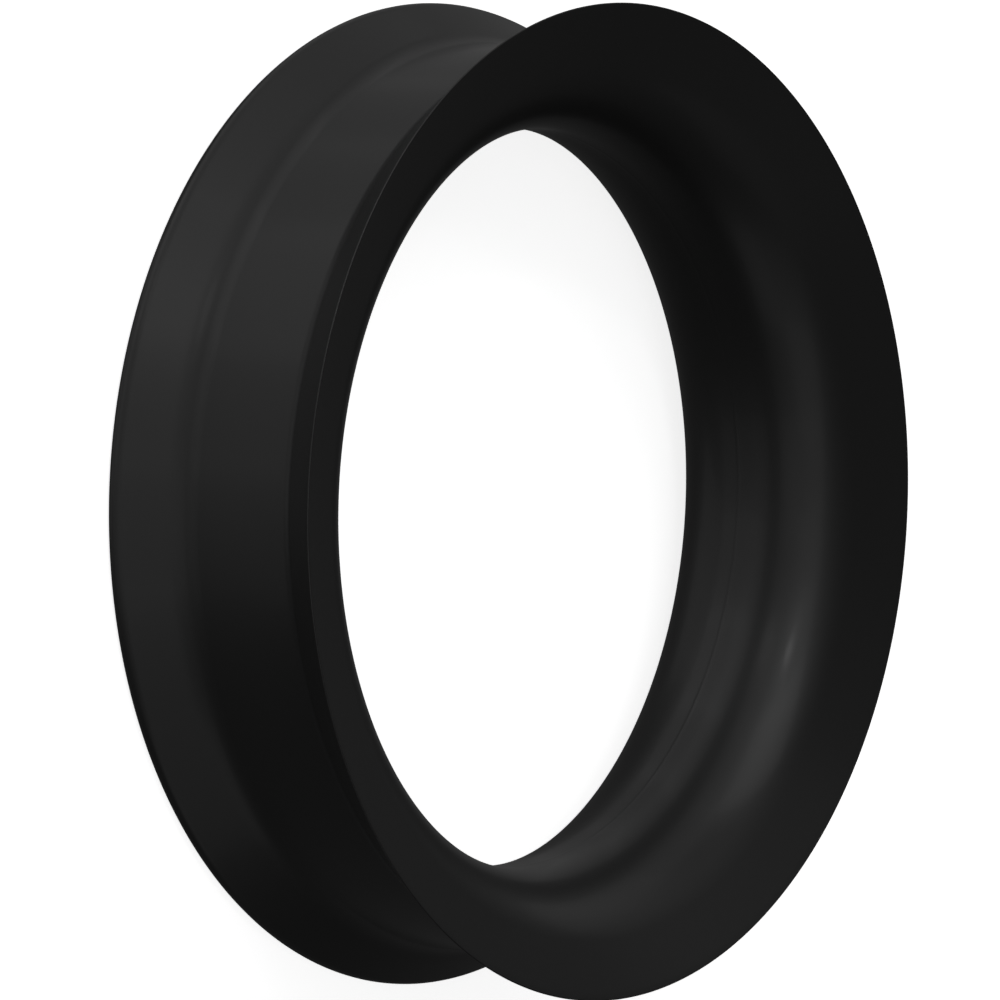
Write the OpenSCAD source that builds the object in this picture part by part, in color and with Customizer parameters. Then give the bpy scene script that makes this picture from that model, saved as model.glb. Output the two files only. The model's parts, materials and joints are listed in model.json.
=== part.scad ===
// Ear tunnel: a soft one-piece ring with a flare at each end, for a stretched lobe.
// The lobe closes on the floor of the groove between the flares. Inside, a curved mouth
// at each end leads into a short straight bore.
// It lies on the rim of its lower flare. Z runs along its axis, and the origin is in the
// middle of the circle that it rests on.

/* [Groove for the lobe] */
// Diameter of the groove's floor, the size that a tunnel is chosen by
groove_floor_d = 38; // [33:0.5:40]
// Angle between the groove's side and the axis
groove_side_angle = 38; // [30:1:90]
// Radius of the fillet where the floor turns up into each side
groove_fillet_r = 0.8; // [0.2:0.1:3]

/* [Flares] */
// Diameter over the flares
flare_d = 41.4; // [40.5:0.1:46]
// Length over both rims
overall_l = 10.6; // [8:0.1:18]
// Radius of each rim's round edge
rim_r = 0.25; // [0.2:0.05:1.2]

/* [Bore] */
// Diameter of the straight bore
bore_d = 30.9; // [20:0.1:35]
// Length of the straight bore between the two mouths
bore_l = 1.4; // [0.2:0.1:5]

/* [Hidden] */
$fn = 360;

floor_r = groove_floor_d / 2;
bore_r = bore_d / 2;

// Places in the profile are [distance from the axis, height above the middle plane].
// Middle of the upper rim's round edge
rim_at = [flare_d / 2 - rim_r, overall_l / 2 - rim_r];

// The groove's side is a cone. It leaves the rim's edge at side_top and the fillet at side_foot.
// It starts a hair inside the rim's edge, so that the two always join.
hair = 0.0001;
into_flare = [-cos(groove_side_angle), sin(groove_side_angle)];
down_side = [-sin(groove_side_angle), -cos(groove_side_angle)];
side_top = rim_at - (rim_r - hair) * into_flare;
fillet_rise = groove_fillet_r * (1 - cos(groove_side_angle));
side_l = (side_top[0] - floor_r - fillet_rise) / sin(groove_side_angle);
side_foot = side_top + side_l * down_side;
fillet_at = side_foot - groove_fillet_r * into_flare;

// The mouth is one arc from the bore's wall to the rim's edge, tangent to both. In a flare
// wider than it is deep, the arc is a quarter round, and a flat end runs from it to the rim.
mouth_depth = (overall_l - bore_l) / 2;
mouth_reach = rim_at[0] - bore_r;
to_rim_depth = mouth_depth - rim_r;
flat_ended = mouth_reach > mouth_depth + hair;
mouth_r = flat_ended
    ? mouth_depth
    : (pow(to_rim_depth, 2) + pow(mouth_reach, 2) - pow(rim_r, 2)) / (2 * (mouth_reach - rim_r));
mouth_at = [bore_r + mouth_r, bore_l / 2];
rim_turn = flat_ended ? [0, 1] : (rim_at - mouth_at) / norm(rim_at - mouth_at);

// A point past the rim's edge, on the line along which the mouth's arc meets it
past_rim = rim_at + 2 * rim_r * rim_turn;

// What lies outside the bore and the upper mouth, as far out as the flare goes
module around_bore() {
    translate(mouth_at)
        circle(r = mouth_r);
    translate([bore_r, 0])
        square([mouth_r, bore_l / 2]);
    if (flat_ended)
        translate([mouth_at[0], 0])
            square([rim_at[0] - mouth_at[0], overall_l / 2]);
}

// What lies inside the groove, between the middle plane and the rim's edge
module inside_groove() {
    difference() {
        polygon([
            [bore_r, 0],
            [floor_r, 0],
            [floor_r, fillet_at[1]],
            fillet_at,
            side_foot,
            side_top,
            rim_at,
            past_rim,
            [bore_r, past_rim[1]]
        ]);
        translate(fillet_at)
            circle(r = groove_fillet_r);
    }
}

// Upper half of the ring's profile, above its middle plane
module half_profile() {
    intersection() {
        around_bore();
        inside_groove();
    }
    translate(rim_at)
        circle(r = rim_r);
}

// The whole ring, turned about its axis
module tunnel() {
    color("#202020")
        translate([0, 0, overall_l / 2])
            rotate_extrude() {
                half_profile();
                mirror([0, 1])
                    half_profile();
            }
}

tunnel();
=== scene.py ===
import json
from math import cos, pi, radians, sin

import bpy
import numpy as np
from mathutils import Matrix, Vector


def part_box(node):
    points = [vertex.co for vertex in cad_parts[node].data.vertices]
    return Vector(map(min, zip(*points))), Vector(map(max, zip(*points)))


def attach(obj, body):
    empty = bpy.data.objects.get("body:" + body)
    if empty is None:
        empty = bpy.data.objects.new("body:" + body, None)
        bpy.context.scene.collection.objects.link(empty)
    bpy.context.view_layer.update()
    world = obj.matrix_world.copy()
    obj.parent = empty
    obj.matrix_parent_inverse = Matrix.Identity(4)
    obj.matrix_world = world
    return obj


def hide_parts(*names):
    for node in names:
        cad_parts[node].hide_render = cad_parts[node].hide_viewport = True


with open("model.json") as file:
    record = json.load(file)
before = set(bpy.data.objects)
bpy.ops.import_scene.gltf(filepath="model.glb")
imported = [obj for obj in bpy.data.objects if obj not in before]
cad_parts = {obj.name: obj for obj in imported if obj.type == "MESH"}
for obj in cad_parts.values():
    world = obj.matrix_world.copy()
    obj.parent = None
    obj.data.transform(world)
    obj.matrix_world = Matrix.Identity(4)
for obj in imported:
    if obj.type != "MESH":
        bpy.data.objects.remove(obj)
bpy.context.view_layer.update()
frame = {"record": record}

# The tunnel itself. One ring of soft black silicone rubber, moulded in one piece: a flare at
# each end, a straight groove between them for the lobe, and a curved mouth at each end of the
# bore. The two cores of its mould meet half way along the bore and leave a thin line there.
MM = 0.001
lowest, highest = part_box("tunnel")
mounts = {mount["name"]: mount for mount in frame["record"]["mounts"]}
flare_r = (highest[0] - lowest[0]) / 2
half_length = (highest[2] - lowest[2]) / 2
floor_r = mounts["lobe_groove"]["dims"]["r_mm"] * MM
bore_r = mounts["bore"]["dims"]["r_mm"] * MM
bore_half_length = mounts["bore"]["dims"]["length_mm"] * MM / 2
face_angle = radians(18)
steps_around = 448


def straight(start, end, steps):
    """Points on the line from start to end, without the end itself. Each stands at one minus
    (the share of the steps still to go, to the power 1.5), so they crowd towards the end."""
    share = 1 - (1 - np.linspace(0, 1, steps, endpoint=False)[:, None]) ** 1.5
    return np.asarray(start) * (1 - share) + np.asarray(end) * share


def arc(centre, radius, start, end, steps):
    """Points on a circle at evenly spaced angles from start to end, without the end itself."""
    angle = np.linspace(start, end, steps, endpoint=False)
    return np.asarray(centre) + radius * np.column_stack([np.cos(angle), np.sin(angle)])


def half_profile(rim_r, side_angle, fillet_r):
    """Half of the outline of the ring's section, as (distance from the axis, height above the
    middle plane). Up from the middle of the groove it is the groove's floor, a fillet, the
    straight side, the rim's round edge, a face that falls a little towards the bore, the
    mouth's arc and the bore, each tangent to the next."""
    rim = np.array([flare_r - rim_r, half_length - rim_r])
    into_flare = np.array([-np.cos(side_angle), np.sin(side_angle)])
    down_side = np.array([-np.sin(side_angle), -np.cos(side_angle)])
    side_top = rim - rim_r * into_flare
    fillet_rise = fillet_r * (1 - np.cos(side_angle))
    side_length = (side_top[0] - floor_r - fillet_rise) / np.sin(side_angle)
    side_foot = side_top + side_length * down_side
    fillet = side_foot - fillet_r * into_flare
    off_face = np.array([-np.sin(face_angle), np.cos(face_angle)])
    depth, reach = rim[1] - bore_half_length, rim[0] - bore_r
    mouth_r = (off_face @ [reach, depth] + rim_r) / (1 - np.sin(face_angle))
    mouth = np.array([bore_r + mouth_r, bore_half_length])
    return np.vstack([
        straight([floor_r, 0], [floor_r, fillet[1]], steps=12),
        arc(fillet, fillet_r, np.pi, np.pi - side_angle, steps=10),
        straight(side_foot, side_top, steps=12),
        arc(rim, rim_r, -side_angle, np.pi / 2 + face_angle, steps=14),
        straight(rim + rim_r * off_face, mouth + mouth_r * off_face, steps=12),
        arc(mouth, mouth_r, np.pi / 2 + face_angle, np.pi, steps=26),
        straight([bore_r, bore_half_length], [bore_r, 0], steps=10),
        [[bore_r, 0]],
    ])


def with_parting_line(profile, height, width):
    """The same outline with half of a fine ridge at its end, where the mould's cores meet. It
    stands in from the bore's wall by its height times exp(-(distance / width) squared). Points
    are added to draw it, over two and a half widths."""
    steps = np.linalg.norm(np.diff(profile, axis=0), axis=1)
    along = np.concatenate([[0], np.cumsum(steps)])
    finer = np.unique(np.concatenate([along, along[-1] - width * np.linspace(0, 2.5, 9)]))
    points = np.column_stack([np.interp(finer, along, profile[:, i]) for i in (0, 1)])
    points[:, 0] -= height * np.exp(-((finer - along[-1]) / width) ** 2)
    return points


def ring_profile():
    """The closed outline of the section. The upper half goes up the groove and down the mouth,
    and the lower half comes back with its heights turned over. The upper rim is crisp and the
    lower one rounder."""
    upper = half_profile(rim_r=0.04 * MM, side_angle=radians(36), fillet_r=0.8 * MM)
    lower = half_profile(rim_r=0.5 * MM, side_angle=radians(38), fillet_r=2 * MM)
    upper = with_parting_line(upper, height=0.006 * MM, width=0.08 * MM)
    lower = with_parting_line(lower, height=0.006 * MM, width=0.08 * MM)
    return np.vstack([upper, lower[-2:0:-1] * [1, -1]])


def lathed(profile, steps):
    """A grid of points, the profile along one way and the turn about Z along the other, at
    (radius times cosine, radius times sine, height)."""
    turn = np.linspace(0, 2 * np.pi, steps, endpoint=False)
    radius, height = profile[:, :1], profile[:, 1:]
    flat = np.ones_like(turn)
    return np.dstack([radius * np.cos(turn), radius * np.sin(turn), height * flat])


def closed_grid_mesh(name, grid):
    """A mesh of quads over a grid that closes on itself both ways, wound to face outwards."""
    rows, columns = grid.shape[:2]
    index = np.arange(rows * columns).reshape(rows, columns)
    ahead = np.roll(index, -1, axis=1)
    quads = np.dstack([index, ahead, np.roll(ahead, -1, axis=0), np.roll(index, -1, axis=0)])
    mesh = bpy.data.meshes.new(name)
    mesh.from_pydata(grid.reshape(-1, 3).tolist(), [], quads.reshape(-1, 4).tolist())
    mesh.shade_smooth()
    return mesh


grid = lathed(ring_profile(), steps_around)
grid[:, :, 2] += half_length
tunnel = bpy.data.objects.new("silicone_tunnel", closed_grid_mesh("silicone_tunnel", grid))
bpy.context.scene.collection.objects.link(tunnel)


def linear(colour):
    """The linear RGBA of an sRGB hex colour, by the standard's curve: a short straight foot, and
    above it (the value plus 0.055, over 1.055) to the power 2.4."""
    parts = np.array([int(colour[i:i + 2], 16) for i in (1, 3, 5)]) / 255
    bright = ((parts + 0.055) / 1.055) ** 2.4
    return (*np.where(parts <= 0.04045, parts / 12.92, bright).tolist(), 1.0)


def add_node(owner, kind, links=(), **settings):
    """Adds a node to a material or to the world. A setting names a socket if there is one, or
    else a property of the node, and links are (its input, the other node, its output)."""
    node = owner.node_tree.nodes.new(kind)
    for name, value in settings.items():
        label = name.replace("_", " ")
        if label in node.inputs:
            node.inputs[label].default_value = value
        else:
            setattr(node, name, value)
    for socket, other, output in links:
        owner.node_tree.links.new(node.inputs[socket], other.outputs[output])
    return node


# Silicone rubber with carbon black in it, cured in a mould with a fine blasted face. The eye
# sees a near-black satin with wide soft reflections. The weak coat is the smoother skin that
# wear gives it, and makes the small lights on it a little crisper.
# A soft moulding is never quite even: its swells are about 8 mm across and 0.06 mm high. The
# real grain is nearer 0.05 mm wide, too fine to show, so it is drawn 0.25 mm wide.
swell_width, swell_height = 8 * MM, 0.06 * MM
grain_width, grain_height = 0.25 * MM, 0.002 * MM
silicone_ior = 1.41
silicone = bpy.data.materials.new("satin moulded silicone rubber")
silicone.use_nodes = True
silicone.node_tree.nodes.clear()
place = add_node(silicone, "ShaderNodeTexCoord")
swell = add_node(
    silicone, "ShaderNodeTexNoise", Scale=1 / swell_width, Detail=1,
    links=[("Vector", place, "Object")],
)
grain = add_node(
    silicone, "ShaderNodeTexNoise", Scale=1 / grain_width, Detail=2,
    links=[("Vector", place, "Object")],
)
uneven = add_node(
    silicone, "ShaderNodeBump", Strength=1, Distance=swell_height,
    links=[("Height", swell, "Fac")],
)
grained = add_node(
    silicone, "ShaderNodeBump", Strength=1, Distance=grain_height,
    links=[("Height", grain, "Fac"), ("Normal", uneven, "Normal")],
)
rubber = add_node(
    silicone, "ShaderNodeBsdfPrincipled",
    Base_Color=linear("#1a1a1a"), Roughness=0.4, IOR=silicone_ior,
    Coat_Weight=0.12, Coat_Roughness=0.16, Coat_IOR=silicone_ior,
    links=[("Normal", grained, "Normal")],
)
add_node(silicone, "ShaderNodeOutputMaterial", links=[("Surface", rubber, "BSDF")])
tunnel.data.materials.append(silicone)
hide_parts("tunnel")
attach(tunnel, "root")

# The floor. The white acrylic top of a light table, far wider than the tunnel that lies on it.
# It glows from below, so the tunnel's shadow on it stays faint. It casts no light on the tunnel
# itself: the soft boxes that shine up from under it stand for that light.
floor_side = 3.0
corners = [(-1, -1), (1, -1), (1, 1), (-1, 1)]
floor_points = [(x * floor_side / 2, y * floor_side / 2, 0) for x, y in corners]
floor_mesh = bpy.data.meshes.new("floor")
floor_mesh.from_pydata(floor_points, [], [(0, 1, 2, 3)])
floor = bpy.data.objects.new("floor", floor_mesh)
bpy.context.scene.collection.objects.link(floor)

# Opal acrylic, cast and rubbed matt, with lamps behind it. The eye sees an even white.
table_top = bpy.data.materials.new("white acrylic light table")
table_top.use_nodes = True
table_top.node_tree.nodes.clear()
acrylic = add_node(
    table_top, "ShaderNodeBsdfPrincipled", Base_Color=linear("#f4f4f4"), Roughness=0.9,
    Emission_Color=linear("#ffffff"), Emission_Strength=0.82,
)
add_node(table_top, "ShaderNodeOutputMaterial", links=[("Surface", acrylic, "BSDF")])
floor.data.materials.append(table_top)
floor.visible_diffuse = False
floor.visible_glossy = False
floor.visible_shadow = False

# The light. Three rows of soft boxes stand around the tunnel, all aimed at its middle: one
# under the table, one a little above it and one higher up. Most of their light comes from -X,
# the top of the picture. Three single boxes and a dim glow from all round complete it.
centre = Vector((0, 0, half_length))


def soft_box(azimuth, elevation, distance, width, height, radiance):
    """An area light that faces the tunnel. Its angles are in degrees, with azimuth counted from
    +X towards +Y, and its power is radiance times pi times its area."""
    turn, rise = radians(azimuth), radians(elevation)
    out = Vector((cos(turn) * cos(rise), sin(turn) * cos(rise), sin(rise)))
    light = bpy.data.lights.new("soft_box", "AREA")
    light.shape = "RECTANGLE"
    light.size, light.size_y = width, height
    light.energy = radiance * pi * width * height
    lamp = bpy.data.objects.new("soft_box", light)
    lamp.location = centre + out * distance
    lamp.rotation_mode = "QUATERNION"
    lamp.rotation_quaternion = out.to_track_quat("Z", "Y")
    lamp.visible_camera = False
    bpy.context.scene.collection.objects.link(lamp)


row_elevations = (-24, 12, 45)
row_radiances = {
    # azimuth: low, middle, high
    -170: (0.5, 0.45, 1.4),
    -140: (0.8, 0.5, 0.5),
    -110: (0.5, 0.35, 0.45),
    -80: (0.3, 0.45, 0.35),
    -50: (0, 0.1, 0.35),
    -20: (0, 0.3, 0.15),
    40: (0, 0, 0.1),
    100: (0.06, 0.05, 0),
    130: (0.15, 0.4, 0.3),
    160: (0.25, 0.35, 0),
}
for azimuth, radiances in row_radiances.items():
    for elevation, radiance in zip(row_elevations, radiances):
        if radiance:
            soft_box(azimuth, elevation, distance=0.6, width=0.33, height=0.35, radiance=radiance)

# One wide box low under the table, and two small ones. The first small one draws the streak
# beside the far fillet, and the last, which is the strongest, the spot of light in the mouth.
soft_box(-120, -62, distance=0.6, width=0.5, height=0.35, radiance=0.3)
soft_box(-129, 12, distance=0.59, width=0.14, height=0.12, radiance=1.2)
soft_box(-134, 40, distance=0.58, width=0.06, height=0.05, radiance=14)

# The glow lights the tunnel, and the camera sees a white backdrop in its place.
white = linear("#ffffff")
studio = bpy.data.worlds.new("studio")
studio.use_nodes = True
studio.node_tree.nodes.clear()
glow = add_node(studio, "ShaderNodeBackground", Color=white, Strength=0.05)
backdrop = add_node(studio, "ShaderNodeBackground", Color=white, Strength=0.9)
path = add_node(studio, "ShaderNodeLightPath")
surroundings = add_node(
    studio, "ShaderNodeMixShader",
    links=[("Fac", path, "Is Camera Ray"), (1, glow, "Background"), (2, backdrop, "Background")],
)
add_node(studio, "ShaderNodeOutputWorld", links=[("Surface", surroundings, "Shader")])
bpy.context.scene.world = studio
bpy.context.scene.view_settings.view_transform = "Standard"

# The camera. It looks down at the tunnel from in front, through a long lens, and is rolled so
# that the tunnel's axis points to the right of the picture and a little down.
camera_elevation = radians(37.65)
axis_tilt = radians(2.5)
camera_distance = 348 * MM
aim_right = 0.89 * MM
aim_up = 0.08 * MM
across = Vector((0, sin(camera_elevation), cos(camera_elevation)))
back = Vector((0, -cos(camera_elevation), sin(camera_elevation)))
side = back.cross(across)
right = cos(axis_tilt) * across + sin(axis_tilt) * side
up = -sin(axis_tilt) * across + cos(axis_tilt) * side
camera = bpy.data.objects.new("camera", bpy.data.cameras.new("camera"))
camera.data.lens = 299.3
camera.data.sensor_width = 36.0
camera.data.clip_start = 10 * MM
camera.data.clip_end = 10.0
camera.rotation_mode = "QUATERNION"
camera.rotation_quaternion = Matrix((right, up, back)).transposed().to_quaternion()
camera.location = centre - right * aim_right - up * aim_up + back * camera_distance
bpy.context.scene.collection.objects.link(camera)
bpy.context.scene.camera = camera
